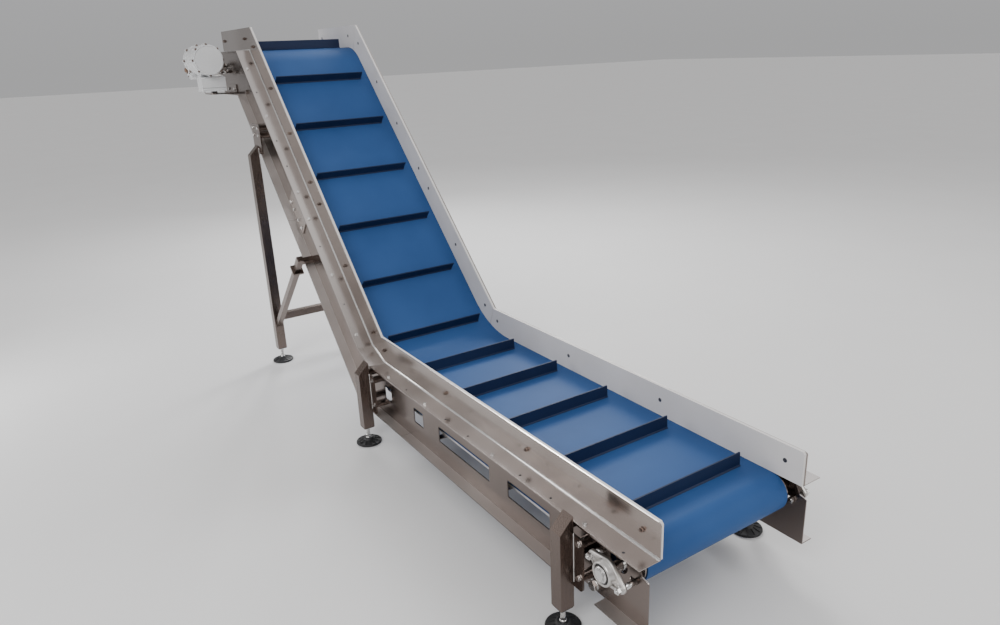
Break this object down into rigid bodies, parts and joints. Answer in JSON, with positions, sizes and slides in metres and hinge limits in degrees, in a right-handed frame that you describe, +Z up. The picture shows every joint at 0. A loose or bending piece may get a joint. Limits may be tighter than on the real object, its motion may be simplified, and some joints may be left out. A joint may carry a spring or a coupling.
{
  "type": "inclined belt conveyor section",
  "caption": "Inclined cleated belt conveyor with level infeed, climb and level discharge head, geared motor drive, stainless frame and levelling feet.",
  "frame": {"origin": "on the floor, midway between the two tail feet, where the anchor hole lines of those feet are centred", "axes": "+X is the travel direction of the carrying strand in plan, +Y the drive side (left when facing travel), +Z up"},
  "size_m": [3.7765, 1.092, 1.8765],
  "materials": {
    "stainless": "brushed stainless steel sheet and tube",
    "liner_white": "matt off-white slide plastic",
    "belt_blue": "satin mid-blue belting",
    "cleat_navy": "satin dark navy",
    "drive_paint": "smooth pale grey washdown paint",
    "black_plastic": "matt black moulded plastic",
    "bronze": "machined bronze"
  },
  "bodies": {
    "conveyor_frame": {"side_frame_lower_left": "stainless", "side_frame_lower_right": "stainless", "side_frame_upper_left": "stainless", "side_frame_upper_right": "stainless", "splice_plates": "stainless", "guide_left": "stainless", "guide_right": "stainless", "liner_infeed_left": "liner_white", "liner_infeed_right": "liner_white", "liner_climb_left": "liner_white", "liner_climb_right": "liner_white", "liner_head_left": "liner_white", "liner_head_right": "liner_white", "liner_screws": "stainless", "frame_bolts": "stainless", "bed_infeed": "stainless", "bed_climb": "stainless", "bed_head": "stainless", "cross_members": "stainless", "return_rails": "liner_white", "return_rail_brackets": "stainless", "belt": "belt_blue", "cleats": "cleat_navy", "head_bearing_housings": "stainless", "head_bearing_studs": "stainless", "knee_roller_axle": "stainless", "edge_roller_axles": "stainless", "gearbox_housing": "drive_paint", "gearbox_covers": "drive_paint", "motor_housing": "drive_paint", "motor_end_cover": "drive_paint", "terminal_box": "drive_paint", "terminal_box_lid": "drive_paint", "cable_gland": "black_plastic", "gearbox_plugs": "stainless", "torque_arm": "stainless", "torque_arm_bracket": "stainless", "legs": "stainless", "leg_brackets": "stainless", "braces": "stainless", "foot_inserts": "black_plastic"},
    "tail_takeup": {"tail_bearing_housings": "stainless", "tail_bearing_studs": "stainless"},
    "tail_drum_unit": {"tail_drum": "stainless", "tail_shaft": "stainless", "tail_bearing_rings": "stainless"},
    "head_drum_unit": {"head_drum": "stainless", "head_shaft": "stainless", "head_bearing_rings": "stainless", "worm_wheel": "bronze"},
    "motor_line": {"worm_shaft": "stainless", "motor_rotor": "stainless"},
    "knee_roller_unit": {"knee_roller": "liner_white"},
    "edge_roller_unit": {"edge_rollers": "liner_white"},
    "levelling_foot_tail_left": {"foot_tail_left": "black_plastic"},
    "levelling_foot_tail_right": {"foot_tail_right": "black_plastic"},
    "levelling_foot_knee_left": {"foot_knee_left": "black_plastic"},
    "levelling_foot_knee_right": {"foot_knee_right": "black_plastic"},
    "levelling_foot_rear_left": {"foot_rear_left": "black_plastic"},
    "levelling_foot_rear_right": {"foot_rear_right": "black_plastic"}
  },
  "joints": [
    {"name": "tail_takeup_slide", "type": "slide", "parent": "conveyor_frame", "child": "tail_takeup", "axis": [1, 0, 0], "range_m": [0, 0.02]},
    {"name": "tail_drum_spin", "type": "hinge", "parent": "tail_takeup", "child": "tail_drum_unit", "pos_m": [-0.172, 0, 0.3026], "axis": [0, 1, 0], "continuous": true},
    {"name": "head_drum_spin", "type": "hinge", "parent": "conveyor_frame", "child": "head_drum_unit", "pos_m": [3.35452, 0, 1.66711], "axis": [0, 1, 0], "continuous": true},
    {"name": "motor_spin", "type": "hinge", "parent": "conveyor_frame", "child": "motor_line", "pos_m": [3.25452, 0.52, 1.71711], "axis": [1, 0, 0], "continuous": true},
    {"name": "knee_roller_spin", "type": "hinge", "parent": "conveyor_frame", "child": "knee_roller_unit", "pos_m": [1.59853, 0, 0.2826], "axis": [0, 1, 0], "continuous": true},
    {"name": "edge_roller_spin", "type": "hinge", "parent": "conveyor_frame", "child": "edge_roller_unit", "pos_m": [2.97982, 0, 1.53832], "axis": [0, 1, 0], "continuous": true},
    {"name": "level_tail_left", "type": "slide", "parent": "conveyor_frame", "child": "levelling_foot_tail_left", "axis": [0, 0, -1], "range_m": [0, 0.03]},
    {"name": "level_tail_right", "type": "slide", "parent": "conveyor_frame", "child": "levelling_foot_tail_right", "axis": [0, 0, -1], "range_m": [0, 0.03]},
    {"name": "level_knee_left", "type": "slide", "parent": "conveyor_frame", "child": "levelling_foot_knee_left", "axis": [0, 0, -1], "range_m": [0, 0.03]},
    {"name": "level_knee_right", "type": "slide", "parent": "conveyor_frame", "child": "levelling_foot_knee_right", "axis": [0, 0, -1], "range_m": [0, 0.03]},
    {"name": "level_rear_left", "type": "slide", "parent": "conveyor_frame", "child": "levelling_foot_rear_left", "axis": [0, 0, -1], "range_m": [0, 0.03]},
    {"name": "level_rear_right", "type": "slide", "parent": "conveyor_frame", "child": "levelling_foot_rear_right", "axis": [0, 0, -1], "range_m": [0, 0.03]}
  ],
  "couplings": [
    {"joint": "tail_drum_spin", "follows": "head_drum_spin", "ratio": 1.299},
    {"joint": "knee_roller_spin", "follows": "head_drum_spin", "ratio": 1.8529},
    {"joint": "edge_roller_spin", "follows": "head_drum_spin", "ratio": -2.074},
    {"joint": "motor_spin", "follows": "head_drum_spin", "ratio": 20}
  ]
}
